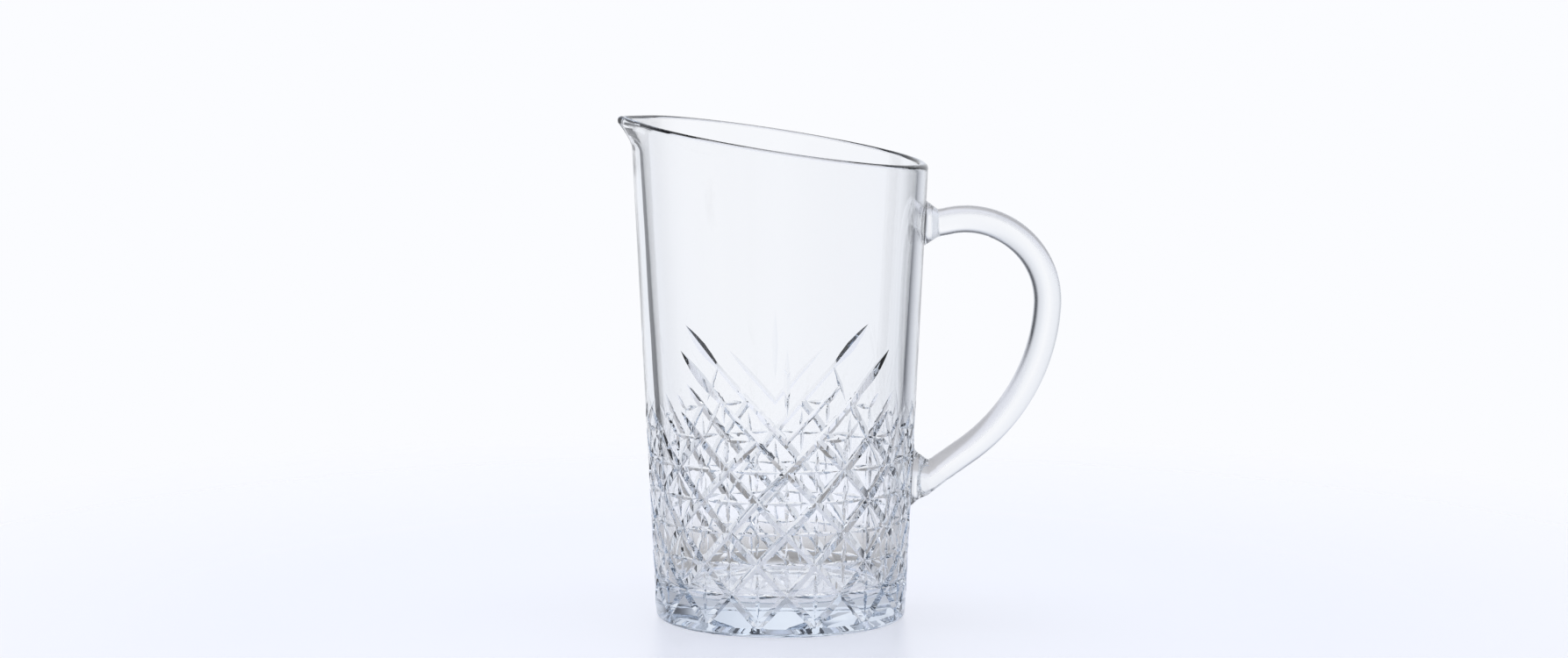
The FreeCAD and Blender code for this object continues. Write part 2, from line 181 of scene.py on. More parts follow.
def glass_material(name, tint, density, wave_mm, wave_depth_mm):
    """Clear glass: a colourless fire-polished surface with faint waves over a weakly tinted volume."""
    material = bpy.data.materials.new(name)
    tree = empty_tree(material)
    place = add_node(tree, "ShaderNodeTexCoord")
    waves = add_node(tree, "ShaderNodeTexNoise", inputs={
        "Scale": 1 / (wave_mm * MM),
        "Detail": 1.0,
        "Roughness": 0.4,
        "Vector": place.outputs["Object"],
    })
    bump = add_node(tree, "ShaderNodeBump", inputs={
        "Strength": 1.0,
        "Distance": wave_depth_mm * MM,
        "Height": waves.outputs["Fac"],
    })
    shader = add_node(tree, "ShaderNodeBsdfPrincipled", inputs={
        "Base Color": linear("#ffffff"),
        "Roughness": 0.0,
        "IOR": SODA_LIME_IOR,
        "Transmission Weight": 1.0,
        "Normal": bump.outputs["Normal"],
    })
    tinted = add_node(tree, "ShaderNodeVolumeAbsorption", inputs={"Color": linear(tint), "Density": density})
    add_node(tree, "ShaderNodeOutputMaterial", inputs={
        "Surface": shader.outputs["BSDF"],
        "Volume": tinted.outputs["Volume"],
    })
    print(name, "waves", wave_mm, "mm long and", wave_depth_mm, "mm deep")
    return material


pressed_glass = glass_material("pressed soda-lime glass", "#bcd6f0", 5.0, 26.0, 0.05)
drawn_glass = glass_material("drawn soda-lime glass rod", "#cddce6", 4.0, 18.0, 0.03)

# %% [markdown]
# ## The body, from the flat
#
# The lower body is covered with V-shaped cuts: two families of long slanting grooves make diamonds, each
# diamond holds a cross of two leaf-shaped cuts, and at the top the long grooves end in fans of spikes.
# The cutting repeats in a mirror four times round the glass. So it is easiest to score a quarter of it
# on a flat sheet, as a marker would draw it on paper, press the grooves in, mirror the quarter to a full
# sheet, and roll that into the tapered wall.
#
# Positions on the sheet count in half diamonds: `u` goes round the wall and `v` goes up it.

# %% The lattice
ROUND_HALVES = 28            # half diamonds in a full turn
QUARTER = ROUND_HALVES // 4
HALF_WIDE = 10.88            # mm, half a diamond along the wall
HALF_HIGH = 11.32            # mm, half a diamond up the wall
ROW_HEIGHT = 60.7            # mm, height of the row of crossings where v is 0
ROLL_RADIUS = ROUND_HALVES * HALF_WIDE / math.tau
LOWEST, HIGHEST = -5, 5      # rows where the sheet begins and ends
COLUMNS, ROWS = 6, 4         # grid cells in half a diamond, across and up


def on_sheet(u, v):
    """A point of the lattice on the flat sheet, in millimetres."""
    return Vector((u * HALF_WIDE, ROW_HEIGHT + v * HALF_HIGH, 0))


def make_sheet():
    """A flat grid over one quarter of the wall, with lines through every crossing."""
    sheet = bmesh.new()
    bmesh.ops.create_grid(
        sheet, x_segments=QUARTER * COLUMNS, y_segments=(HIGHEST - LOWEST) * ROWS, size=0.5
    )
    low, high = on_sheet(0, LOWEST), on_sheet(QUARTER, HIGHEST)
    spread = Matrix.Diagonal((high.x - low.x, high.y - low.y, 1, 1))
    centre = Matrix.Translation((low + high) / 2)
    bmesh.ops.transform(sheet, matrix=centre @ spread, verts=sheet.verts)
    return sheet


sheet = make_sheet()
print("sheet of", len(sheet.faces), "faces for a quarter; rolled radius", round(ROLL_RADIUS, 2), "mm")

# %% [markdown]
# A cut is a straight V with a list of stations along it, each with a share of its length, half a width
# and a depth. Two stations of one size make a long even groove. Several that follow a parabola make the
# leaf that a cutter's wheel leaves, sharp at both ends. `score` draws one line of a cut on the sheet
# with `bisect_plane`, but only through the faces that the line really crosses, so that the rest of the
# sheet stays coarse.

# %% Cuts and how they are scored
TOUCH = 0.004                # mm, nearer than this a corner is on the line


class Cut:
    """A V-shaped cut from one point of the sheet to another."""

    def __init__(self, start, end, stations):
        self.start, self.end = on_sheet(*start), on_sheet(*end)
        self.stations = stations
        self.length = (self.end - self.start).length
        self.along = (self.end - self.start).normalized()
        self.across = Vector((-self.along.y, self.along.x, 0))

    def point(self, share, side):
        """A point of the cut, by share of its length and distance to the side."""
        return self.start + self.along * (share * self.length) + self.across * side

    def lines(self):
        """The bottom, both edges, and the lines across at the stations."""
        drawn = [(self.start, self.end)]
        for (a, wide_a, _), (b, wide_b, _) in zip(self.stations, self.stations[1:]):
            for side in (-1, 1):
                drawn.append((self.point(a, side * wide_a), self.point(b, side * wide_b)))
        for share, wide, _ in self.stations[1:-1]:
            drawn.append((self.point(share, -wide), self.point(share, wide)))
        return drawn

    def depths(self, places):
        """How deep the cut is at each of an array of places."""
        offset = places - np.array(self.start)
        share = offset @ np.array(self.along) / self.length
        side = np.abs(offset @ np.array(self.across))
        shares, widths, deeps = zip(*self.stations)
        wide = np.interp(share, shares, widths)
        deep = np.interp(share, shares, deeps)
        inside = (share > -1e-6) & (share < 1 + 1e-6) & (side < wide)
        return np.where(inside, deep * (1 - side / np.maximum(wide, 1e-9)), 0.0)


def crosses(face, start, along, length, across):
    """True if a line goes through a face, and not only along its edge."""
    side = [across.dot(corner.co - start) for corner in face.verts]
    way = [along.dot(corner.co - start) for corner in face.verts]
    return min(side) < -TOUCH and max(side) > TOUCH and max(way) > TOUCH and min(way) < length - TOUCH


def score(bm, faces, start, end):
    """Draw one line across those faces that it crosses. Returns the faces with their new pieces."""
    length = (end - start).length
    if length < 10 * TOUCH:
        return faces
    along = (end - start).normalized()
    across = Vector((-along.y, along.x, 0))
    hit = [face for face in faces if crosses(face, start, along, length, across)]
    edges = dict.fromkeys(edge for face in hit for edge in face.edges)
    corners = dict.fromkeys(corner for face in hit for corner in face.verts)
    cut = bmesh.ops.bisect_plane(
        bm, geom=hit + list(edges) + list(corners), dist=TOUCH, plane_co=start, plane_no=across
    )
    crossed = set(hit)
    return [face for face in faces if face not in crossed] + among(cut["geom"], FACE)


# %% [markdown]
# The pattern itself is a short list. Long grooves pass through the crossings, where `u + v` is even.
# Each closed diamond has its centre where `u + v` is odd.

# %% The pattern of one quarter
GROOVE_HALF, GROOVE_DEEP = 1.5, 1.45       # mm, the long grooves
LEAF_HALF, LEAF_DEEP = 0.95, 0.8           # mm, the crosses inside the diamonds
LEAF_SHARES = (0.0, 0.18, 0.36, 0.5, 0.64, 0.82, 1.0)
CROSS_ARM, CROSS_RISE = 8.5, 8.0           # mm from the middle of a cross to its tips, across and up
FOOT_REACH = 0.75                          # half diamonds that the crosses of the lowest row go down


def leaf(start, end, half, deep, shares=LEAF_SHARES):
    """A leaf-shaped cut, widest and deepest in the middle."""
    swell = [1 - (2 * share - 1) ** 2 for share in shares]
    return Cut(start, end, [(s, half * k, deep * k) for s, k in zip(shares, swell)])


def groove(start, end, half=GROOVE_HALF, deep=GROOVE_DEEP):
    """An even groove that ends in another cut or at the edge of the sheet."""
    return Cut(start, end, [(0.0, half, deep), (1.0, half, deep)])


def tapered(start, end, tail, half=GROOVE_HALF, deep=GROOVE_DEEP):
    """A groove that is even for most of its length and then runs out in a point."""
    body = 1 - tail
    steps = [(body + tail * k, 1 - k ** 2) for k in (0.0, 0.35, 0.65, 0.85, 1.0)]
    return Cut(start, end, [(0.0, half, deep)] + [(s, half * k, deep * k) for s, k in steps])


def lattice_cuts():
    """The long grooves. Rising ones run out in points at the top. Falling ones start at crossings."""
    rising = [
        tapered((0, -2), (3.8, 1.8), 0.18),
        tapered((0, -4), (5.75, 1.75), 0.12),
        groove((1, -5), (7, 1)),
        groove((3, -5), (7, -1)),
        groove((5, -5), (7, -3)),
        tapered((7, 1), (6.2, 1.8), 0.8),
    ]
    falling = [
        groove((0, 0), (5, -5)),
        groove((1, 1), (7, -5)),
        groove((3, 1), (7, -3)),
        groove((5, 1), (7, -1)),
        groove((0, -2), (3, -5)),
        groove((0, -4), (1, -5)),
    ]
    return rising + falling


def chevron_cuts():
    """The fan: a wide chevron with long leaf-shaped tips, a narrow one inside it, a spike, a branch."""
    tip = (3.69, 3.74)                     # u and v where the wide chevron ends
    outer = Cut((0, 0), tip, [
        (0.00, 1.5, 1.30),
        (0.12, 1.3, 0.60),
        (0.50, 1.1, 0.45),
        (0.62, 1.0, 0.50),
        (0.69, 1.6, 1.10),
        (0.78, 2.0, 1.45),
        (0.87, 1.6, 1.15),
        (0.94, 0.9, 0.60),
        (1.00, 0.0, 0.00),
    ])
    inner = tapered((0, 1), (1.72, 2.76), 0.5, 1.0, 0.45)
    spike = leaf((0, 1.7), (0, 4.0), 1.1, 0.35)
    branch = leaf((2.16, 2.3), (2.75, 1.1), 0.8, 0.7)
    return [outer, inner, spike, branch]


def cross_cuts():
    """A cross of two leaves in each diamond, with the arms that the open diamonds at the top still have."""
    arm, rise = CROSS_ARM / HALF_WIDE, CROSS_RISE / HALF_HIGH
    cuts = []
    for v in range(LOWEST + 1, 1):
        for u in range(QUARTER + 1):
            if (u + v) % 2:
                cuts.append(leaf((u - arm, v), (u + arm, v), LEAF_HALF, LEAF_DEEP))
                fall = rise if v > LOWEST + 1 else FOOT_REACH
                cuts.append(leaf((u, v - fall), (u, v + rise), LEAF_HALF, LEAF_DEEP))
    for u in (2, 4, 6):
        cuts.append(leaf((u - arm, 1), (u + 0.1, 1), LEAF_HALF, LEAF_DEEP))
        cuts.append(leaf((u, 1 - rise), (u, 1.1), LEAF_HALF, LEAF_DEEP))
        cuts.append(leaf((u - 0.05, 0.95), (u + 0.5, 1.55), LEAF_HALF, LEAF_DEEP))
    return cuts


cuts = lattice_cuts() + chevron_cuts() + cross_cuts()
print(len(cuts), "cuts on a quarter")

# %% [markdown]
# Scoring goes cut by cut. A leaf touches only the faces near it, so those are picked first. Where two
# cuts cross, the deeper one wins, and the crease between them lies on the diagonal: the grid's own lines
# give that crease for the long grooves, and a short pair of diagonals gives it for the crosses.

# %% Score the sheet and press the cuts in
def near(bm, cut):
    """The faces close enough to a cut to be touched by it."""
    margin = max(HALF_WIDE / COLUMNS, HALF_HIGH / ROWS) + max(wide for _, wide, _ in cut.stations)
    low = Vector((min(cut.start.x, cut.end.x), min(cut.start.y, cut.end.y), 0))
    high = Vector((max(cut.start.x, cut.end.x), max(cut.start.y, cut.end.y), 0))
    picked = []
    for face in bm.faces:
        spot = face.verts[0].co
        if low.x - margin < spot.x < high.x + margin and low.y - margin < spot.y < high.y + margin:
            picked.append(face)
    return picked


for cut in cuts:
    faces = near(sheet, cut)
    for start, end in cut.lines():
        faces = score(sheet, faces, start, end)

CREASE_HALF = 0.09                         # of half a diamond, how far the creases of a cross reach
HAIRLINE = [(0, 0.1, 0)]                   # a cut with no depth, for finding the faces round a line
for v in range(LOWEST + 1, 1):
    for u in range(QUARTER + 1):
        if (u + v) % 2:
            across = CREASE_HALF * HALF_HIGH / HALF_WIDE
            for side in (-1, 1):
                low_end = (u - across, v - side * CREASE_HALF)
                high_end = (u + across, v + side * CREASE_HALF)
                faces = near(sheet, Cut(low_end, high_end, HAIRLINE))
                score(sheet, faces, on_sheet(*low_end), on_sheet(*high_end))

bmesh.ops.triangulate(sheet, faces=sheet.faces)
places = np.array([corner.co for corner in sheet.verts])
deepest = np.zeros(len(places))
for cut in cuts:
    deepest = np.maximum(deepest, cut.depths(places))
FADE_HIGH = 4.0                            # mm above the lowest row where the cuts have their full depth
FADE_CURVE = 0.7                           # below 1, they run out fast only near the very end
lowest_row = on_sheet(0, LOWEST).y
rising_share = np.clip((places[:, 1] - lowest_row) / FADE_HIGH, 0.0, 1.0)
deepest *= rising_share ** FADE_CURVE
for corner, deep in zip(sheet.verts, deepest):
    corner.co.z = -deep
print("quarter sheet has", len(sheet.faces), "faces, deepest", round(float(deepest.max()), 2), "mm")

# %% [markdown]
# ## Rolling the sheet
#
# Mirror the quarter for the front half, copy that for the back half, and every point's way along the
# sheet becomes an angle round the axis. The wall is a cone: its radius grows by a twentieth of the
# height. The sheet's two ends meet behind the handle and are welded.

# %% Mirror, copy and roll
BASE_RADIUS, WALL_SLOPE = 45.77, 0.0481    # mm at the standing plane, and mm more for each mm of height


def outer_radius(height):
    """The radius of the uncut outer wall."""
    return BASE_RADIUS + WALL_SLOPE * height


def around(radius, angle, height):
    """A point by its distance from the axis, its angle and its height."""
    return Vector((radius * math.cos(angle), radius * math.sin(angle), height))


MIRROR_WELD, SEAM_WELD = 0.002, 0.003      # mm, corners nearer than this become one
body = sheet
everything = body.verts[:] + body.edges[:] + body.faces[:]
bmesh.ops.mirror(body, geom=everything, matrix=Matrix.Identity(4), merge_dist=MIRROR_WELD, axis="X")
copied = bmesh.ops.duplicate(body, geom=body.verts[:] + body.edges[:] + body.faces[:])["geom"]
bmesh.ops.translate(body, verts=among(copied, CORNER), vec=(2 * QUARTER * HALF_WIDE, 0, 0))
for corner in body.verts:
    angle = corner.co.x / ROLL_RADIUS - math.pi / 2
    corner.co = around(outer_radius(corner.co.y) + corner.co.z, angle, corner.co.y)
bmesh.ops.remove_doubles(body, verts=body.verts, dist=SEAM_WELD)
open_edges = [edge for edge in body.edges if edge.is_boundary]
print("rolled wall:", len(body.faces), "faces,", len(open_edges), "edges on its two rims")

# %% [markdown]
# ## Mouth, beak and inside
#
# From the top of the rolled sheet, ring after ring is extruded: up the plain wall, over the lip, down
# the inside and across the floor. Every ring has the same corners, each at its own angle, so a function
# of the angle places it. The mouth is a plane that slopes down to the handle. The beak is where the
# outline leaves the circle along two tangents that meet in a small round tip, and it fades out a
# centimetre below the mouth.

# %% The outline of the mouth
MOUTH_HEIGHT, MOUTH_SLOPE = 175.5, 0.1564  # mm on the axis, and mm lower for each mm towards the handle
FLOOR_HEIGHT = 11.5                        # mm, top of the thick base
BORE_RADIUS, BORE_SLOPE = 40.3, 0.0630     # mm at the floor, and mm more for each mm of height
TIP_CENTRE, TIP_RADIUS = 54.3, 4.6         # mm from the axis to the centre of the beak's round tip
BEAK_DEEP, BEAK_FULL = 11.0, 2.5           # mm below the mouth where the beak begins, and is whole
BEAK_CURVE = 1.5                           # above 1, it leaves the wall gently


def inner_radius(height):
    """The radius of the inside wall."""
    return BORE_RADIUS + BORE_SLOPE * (height - FLOOR_HEIGHT)


def beak_reach(angle):
    """How far the beak stands out from the round wall at an angle, at the mouth."""
    off = abs(math.remainder(angle - math.pi, math.tau))
    round_wall = outer_radius(MOUTH_HEIGHT)
    tangent = math.acos((round_wall - TIP_RADIUS) / TIP_CENTRE)
    if off >= tangent:
        return 0.0
    leaves = math.atan2(TIP_RADIUS * math.sin(tangent), TIP_CENTRE + TIP_RADIUS * math.cos(tangent))
    if off < leaves:
        aside = TIP_CENTRE * math.sin(off)
        return TIP_CENTRE * math.cos(off) + math.sqrt(TIP_RADIUS ** 2 - aside ** 2) - round_wall
    return round_wall / math.cos(tangent - off) - round_wall


def fade(drop):
    """How much of the beak is left at a distance below the mouth."""
    share = (BEAK_DEEP - drop) / (BEAK_DEEP - BEAK_FULL)
    return min(max(share, 0.0), 1.0) ** BEAK_CURVE


def mouth_at(angle, radius):
    """The height of the mouth plane over a point."""
    return MOUTH_HEIGHT - MOUTH_SLOPE * radius * math.cos(angle)


def wall_point(angle, drop, inside):
    """A point of the outer or inner wall at a distance below the mouth plane."""
    reach = beak_reach(angle) * fade(drop)
    height = MOUTH_HEIGHT - drop
    for _ in range(4):                     # radius and height depend on each other, and soon settle
        radius = (inner_radius(height) if inside else outer_radius(height)) + reach
        height = mouth_at(angle, radius) - drop
    return around(radius, angle, height)


print("beak tip at", round(outer_radius(MOUTH_HEIGHT) + beak_reach(math.pi), 2), "mm from the axis")

# %% Rings up to the lip
def grow(bm, rim, place):
    """Extrude a closed rim by one ring, and put each new corner where place says for its angle."""
    made = bmesh.ops.extrude_edge_only(bm, edges=rim)["geom"]
    for corner in among(made, CORNER):
        corner.co = place(math.atan2(corner.co.y, corner.co.x))
    return [edge for edge in among(made, EDGE) if edge.is_boundary]


sheet_top = on_sheet(0, HIGHEST).y
middle = on_sheet(0, (LOWEST + HIGHEST) / 2).y
top_rim = [edge for edge in open_edges if edge.verts[0].co.z > middle]

# the beak needs finer columns than the wall
BEAK_WIDTH = math.radians(9)               # half the angle of the wall that gets them
FINER = 3                                  # extra columns in each


def off_beak(corner):
    """The angle between a corner and the middle of the beak."""
    return abs(math.remainder(math.atan2(corner.co.y, corner.co.x) - math.pi, math.tau))


at_beak = [edge for edge in top_rim if all(off_beak(corner) < BEAK_WIDTH for corner in edge.verts)]
bmesh.ops.subdivide_edges(body, edges=at_beak, cuts=FINER)
top_rim = [edge for edge in body.edges if edge.is_boundary and edge.verts[0].co.z > middle]
for corner in ring_corners(top_rim):
    angle = math.atan2(corner.co.y, corner.co.x)
    corner.co = around(outer_radius(sheet_top), angle, sheet_top)

PLAIN_RINGS = 8
BEAK_RINGS = 10
LIP_RINGS = 10
rim = top_rim
for ring in range(1, PLAIN_RINGS + 1):
    share = ring / PLAIN_RINGS

    def plain(angle):
        """A point of the plain wall, at this ring's share of the way up to the beak."""
        top = wall_point(angle, BEAK_DEEP, False)
        height = sheet_top + share * (top.z - sheet_top)
        return around(outer_radius(height), angle, height)

    rim = grow(body, rim, plain)
LIP_LOW = 1.6                              # mm below the mouth plane where the lip begins to round over
for ring in range(1, BEAK_RINGS + 1):
    drop = BEAK_DEEP + (LIP_LOW - BEAK_DEEP) * ring / BEAK_RINGS
    rim = grow(body, rim, lambda angle: wall_point(angle, drop, False))


def lip_point(angle, turn):
    """A point over the round lip, turned from the outside (0) to the inside (pi)."""
    outside, inside = wall_point(angle, LIP_LOW, False), wall_point(angle, LIP_LOW, True)
    middle_radius = (outside.to_2d().length + inside.to_2d().length) / 2
    half = (outside.to_2d().length - inside.to_2d().length) / 2
    radius = middle_radius + half * math.cos(turn)
    height = mouth_at(angle, radius) - LIP_LOW + LIP_LOW * math.sin(turn)
    return around(radius, angle, height)


for ring in range(1, LIP_RINGS + 1):
    rim = grow(body, rim, lambda angle: lip_point(angle, math.pi * ring / LIP_RINGS))
print("up to the lip:", len(body.faces), "faces")

# %% Rings down the inside and across the floor
FLOOR_ROUND = 6.5                          # mm, radius between the inside wall and the floor
FLOOR_RINGS = (28, 21, 14, 8, 4, 1.5)      # mm, radii of the rings across the floor
corner_z = FLOOR_HEIGHT + FLOOR_ROUND
for ring in range(1, BEAK_RINGS + 1):
    drop = LIP_LOW + (BEAK_DEEP - LIP_LOW) * ring / BEAK_RINGS
    rim = grow(body, rim, lambda angle: wall_point(angle, drop, True))

INSIDE_RINGS = 14
for ring in range(1, INSIDE_RINGS + 1):
    share = ring / INSIDE_RINGS

    def inside_wall(angle):
        """A point of the inside wall, at this ring's share of the way down to the floor's rounding."""
        top = wall_point(angle, BEAK_DEEP, True)
        height = top.z + share * (corner_z - top.z)
        return around(inner_radius(height), angle, height)

    rim = grow(body, rim, inside_wall)

CORNER_RINGS = 8
corner_radius = inner_radius(corner_z) - FLOOR_ROUND
for ring in range(1, CORNER_RINGS + 1):
    turn = math.pi / 2 * ring / CORNER_RINGS
    radius = corner_radius + FLOOR_ROUND * math.cos(turn)
    height = corner_z - FLOOR_ROUND * math.sin(turn)
    rim = grow(body, rim, lambda angle: around(radius, angle, height))
for radius in FLOOR_RINGS:
    rim = grow(body, rim, lambda angle: around(radius, angle, FLOOR_HEIGHT))
bmesh.ops.pointmerge(body, verts=ring_corners(rim), merge_co=(0, 0, FLOOR_HEIGHT))
print("with the inside:", len(body.faces), "faces")

# %% Rings round the heel and across the underside
HEEL_ROUND = 1.9                           # mm, radius of the bottom edge
RING_RADIUS, RECESS_RADIUS = 36.0, 31.0    # mm, inner edge of the ring it stands on, and of its slope
RECESS_DEPTH = 1.8                         # mm that the middle of the underside is off the table
UNDER_RINGS = (24, 16, 9, 4, 1.5)          # mm, radii of the rings across the recess
rim = [edge for edge in body.edges if edge.is_boundary]
heel_radius = outer_radius(HEEL_ROUND) - HEEL_ROUND
HEEL_RINGS = 6
for ring in range(HEEL_RINGS + 1):
    turn = math.pi / 2 * ring / HEEL_RINGS
    radius = heel_radius + HEEL_ROUND * math.cos(turn)
    height = HEEL_ROUND - HEEL_ROUND * math.sin(turn)
    rim = grow(body, rim, lambda angle: around(radius, angle, height))
rim = grow(body, rim, lambda angle: around(RING_RADIUS, angle, 0.0))
for radius in (RECESS_RADIUS, *UNDER_RINGS):
    rim = grow(body, rim, lambda angle: around(radius, angle, RECESS_DEPTH))
bmesh.ops.pointmerge(body, verts=ring_corners(rim), merge_co=(0, 0, RECESS_DEPTH))
bmesh.ops.triangulate(body, faces=[face for face in body.faces if len(face.verts) > 4])
bmesh.ops.recalc_face_normals(body, faces=body.faces)
bmesh.ops.scale(body, vec=(MM, MM, MM), verts=body.verts)
leaks = [edge for edge in body.edges if not edge.is_manifold]
print("whole body:", len(body.faces), "faces,", len(leaks), "open or doubled edges")

# %% The body as a piece
CUT_CREASE = 14                            # degrees: less than at any edge of a cut, more than in any curve
vessel = finished(body, "jug_body", pressed_glass, crease=CUT_CREASE)
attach(vessel, "root")
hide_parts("vessel")

# %% [markdown]
# ## The handle
#
# The handle is one glass rod, drawn, bent hot and stuck on. Its line is a shoulder arc, a wide sweep and
# a short straight tail, all in one plane. A ring of corners is spun about the centre of each arc in turn
# and then extruded along the tail, so the rod never leaves that line. It thickens a little on the way
# down.

# %% The line of the rod
SHOULDER = Vector((67.6, 0, 116.0))        # mm, centre of the arc at the top
SHOULDER_RADIUS = 30.3
SWEEP = Vector((27.95, 0, 118.08))         # mm, centre of the long arc
SWEEP_RADIUS = 70.0
SHOULDER_START, JOINT_TURN, SWEEP_END = math.radians(103.5), math.radians(-3.0), math.radians(-55.0)
ROD_TOP, ROD_LOW = 5.1, 5.75               # mm, radius of the rod at its two ends
ROUND_ROD = 56                             # corners round the rod
BOND_GAP = 0.2                             # mm, between each foot and the wall


def arc_point(centre, radius, turn):
    """A point in the handle's plane, by its turn up from the X axis."""
    return centre + Vector((radius * math.cos(turn), 0, radius * math.sin(turn)))


def spin_rod(bm, edges, centre, radius, start, end, steps, thick):
    """Spin a ring about the centre of an arc and give each corner the rod's thickness at its place."""
    made = bmesh.ops.spin(
        bm, geom=edges, cent=centre, axis=(0, 1, 0), angle=start - end, steps=steps, use_duplicate=False
    )
    old = set(ring_corners(edges))
    fresh = [corner for corner in bm.verts if corner.tag is False and corner not in old]
    for corner in fresh:
        turn = math.atan2(corner.co.z - centre.z, corner.co.x - centre.x)
        line = arc_point(centre, radius, turn)
        share = (start - turn) / (start - end)
        corner.co = line + (corner.co - line) * (thick[0] + (thick[1] - thick[0]) * share) / thick[0]
        corner.tag = True
    return among(made["geom_last"], EDGE)


rod = bmesh.new()
bmesh.ops.create_circle(rod, segments=ROUND_ROD, radius=ROD_TOP)
top_point = arc_point(SHOULDER, SHOULDER_RADIUS, SHOULDER_START)
lay = Matrix.Translation(top_point) @ Matrix.Rotation(-SHOULDER_START, 4, "Y")
bmesh.ops.transform(rod, matrix=lay, verts=rod.verts)
top_ring = rod.edges[:]
for corner in rod.verts:
    corner.tag = True
SHOULDER_SHARE = 0.45                      # of the rod's thickening, how much the shoulder has
ROD_MIDDLE = ROD_TOP + (ROD_LOW - ROD_TOP) * SHOULDER_SHARE
SHOULDER_STEPS, SWEEP_STEPS = 36, 40       # rings along each arc
low_ring = spin_rod(
    rod, top_ring, SHOULDER, SHOULDER_RADIUS, SHOULDER_START, JOINT_TURN,
    SHOULDER_STEPS, (ROD_TOP, ROD_MIDDLE),
)
low_ring = spin_rod(
    rod, low_ring, SWEEP, SWEEP_RADIUS, JOINT_TURN, SWEEP_END,
    SWEEP_STEPS, (ROD_MIDDLE, ROD_LOW),
)
print("rod:", len(rod.faces), "faces from foot to knee")

# %% [markdown]
# Each foot is where the hot rod was pressed on the wall and spread. The upper one is a plain flare. The
# lower one is a tall oval, because the rod comes down to the wall at a slant. Every corner of the rod's
# end travels along a line of ovals to the wall, and the foot is closed with a face that follows the
# wall's curve.

# %% Feet of the handle
# each oval is the distance from the axis, the height, half the height and half the width, in mm
UPPER_OVALS = ((57.4, 144.9, 5.15, 5.1), (52.4, 145.2, 8.6, 8.6))
LOWER_OVALS = ((54.2, 50.9, 6.6, 5.7), (50.6, 51.3, 8.6, 6.9), (47.4, 52.0, 12.0, 8.6))
UPPER_RINGS, LOWER_RINGS = (4, 6), (5, 4, 5)          # rings on the way to each oval
SOLE_RINGS = (0.85, 0.65, 0.45, 0.25, 0.1)            # shares of the foot's edge, inwards to the middle
TAIL = 12.0                                           # mm of straight rod below the sweep
HALVINGS, FAR_END = 30, 1.6                # for finding the wall along a line, and how far past its end


def foot_at_wall(across, height, gap):
    """The point at a distance outside the wall, seen straight from the side of the handle."""
    radius = outer_radius(height) + gap
    return Vector((math.sqrt(radius ** 2 - across ** 2), across, height))


def oval_point(x, height, half_high, half_wide, turn):
    """A point of an upright oval that faces the wall."""
    return Vector((x, half_wide * math.cos(turn), height + half_high * math.sin(turn)))


def meet_wall(start, end, gap):
    """Where a line from start through end meets the wall."""
    near_share, far_share = 0.0, FAR_END
    for _ in range(HALVINGS):
        share = (near_share + far_share) / 2
        spot = start.lerp(end, share)
        if spot.to_2d().length > outer_radius(spot.z) + gap:
            near_share = share
        else:
            far_share = share
    return start.lerp(end, near_share)


def next_ring(bm, edges, stations):
    """Extrude a ring in place: its new edges, and each new corner with the path of the one it came from."""
    made = bmesh.ops.extrude_edge_only(bm, edges=edges)["geom"]
    following = {}
    for corner in among(made, CORNER):
        neighbours = [edge.other_vert(corner) for edge in corner.link_edges]
        source = next(neighbour for neighbour in neighbours if neighbour in stations)
        following[corner] = stations[source]
    fresh_edges = [edge for edge in among(made, EDGE) if all(end in following for end in edge.verts)]
    return fresh_edges, following


def make_foot(bm, edges, centre, up, ovals, rings):
    """Flare the rod's end ring through ovals (x, height, half height, half width) to the wall."""
    stations = {}
    for corner in ring_corners(edges):
        away = corner.co - centre
        turn = math.atan2(away.dot(up), away.y)
        path = [corner.co.copy()] + [oval_point(*oval, turn) for oval in ovals]
        path[-1] = meet_wall(path[-2], path[-1], BOND_GAP)
        stations[corner] = path
    for stage, count in enumerate(rings):
        for ring in range(1, count + 1):
            edges, stations = next_ring(bm, edges, stations)
            for corner, path in stations.items():
                corner.co = path[stage].lerp(path[stage + 1], ring / count)
    sole_height = sum(corner.co.z for corner in stations) / len(stations)
    for share in SOLE_RINGS:
        edges, stations = next_ring(bm, edges, stations)
        for corner, path in stations.items():
            height = sole_height + (path[-1].z - sole_height) * share
            corner.co = foot_at_wall(path[-1].y * share, height, BOND_GAP)
    bmesh.ops.pointmerge(bm, verts=list(stations), merge_co=foot_at_wall(0, sole_height, BOND_GAP))


up_at_top = Vector((math.cos(SHOULDER_START), 0, math.sin(SHOULDER_START)))
up_at_knee = -Vector((math.cos(SWEEP_END), 0, math.sin(SWEEP_END)))
make_foot(rod, top_ring, top_point, up_at_top, UPPER_OVALS, UPPER_RINGS)
knee = arc_point(SWEEP, SWEEP_RADIUS, SWEEP_END)
down = Vector((math.sin(SWEEP_END), 0, -math.cos(SWEEP_END)))
made = bmesh.ops.extrude_edge_only(rod, edges=low_ring)["geom"]
bmesh.ops.translate(rod, verts=among(made, CORNER), vec=down * TAIL)
tail_ring = [edge for edge in among(made, EDGE) if edge.is_boundary]
make_foot(rod, tail_ring, knee + down * TAIL, up_at_knee, LOWER_OVALS, LOWER_RINGS)
bmesh.ops.recalc_face_normals(rod, faces=rod.faces)
bmesh.ops.scale(rod, vec=(MM, MM, MM), verts=rod.verts)
leaks = [edge for edge in rod.edges if not edge.is_manifold]
print("handle:", len(rod.faces), "faces,", len(leaks), "open edges")
FOOT_CREASE = 35                           # degrees: only the edge of each sole stays sharp
handle = finished(rod, "bent_handle", drawn_glass, crease=FOOT_CREASE)
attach(handle, "root")
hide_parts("handle")

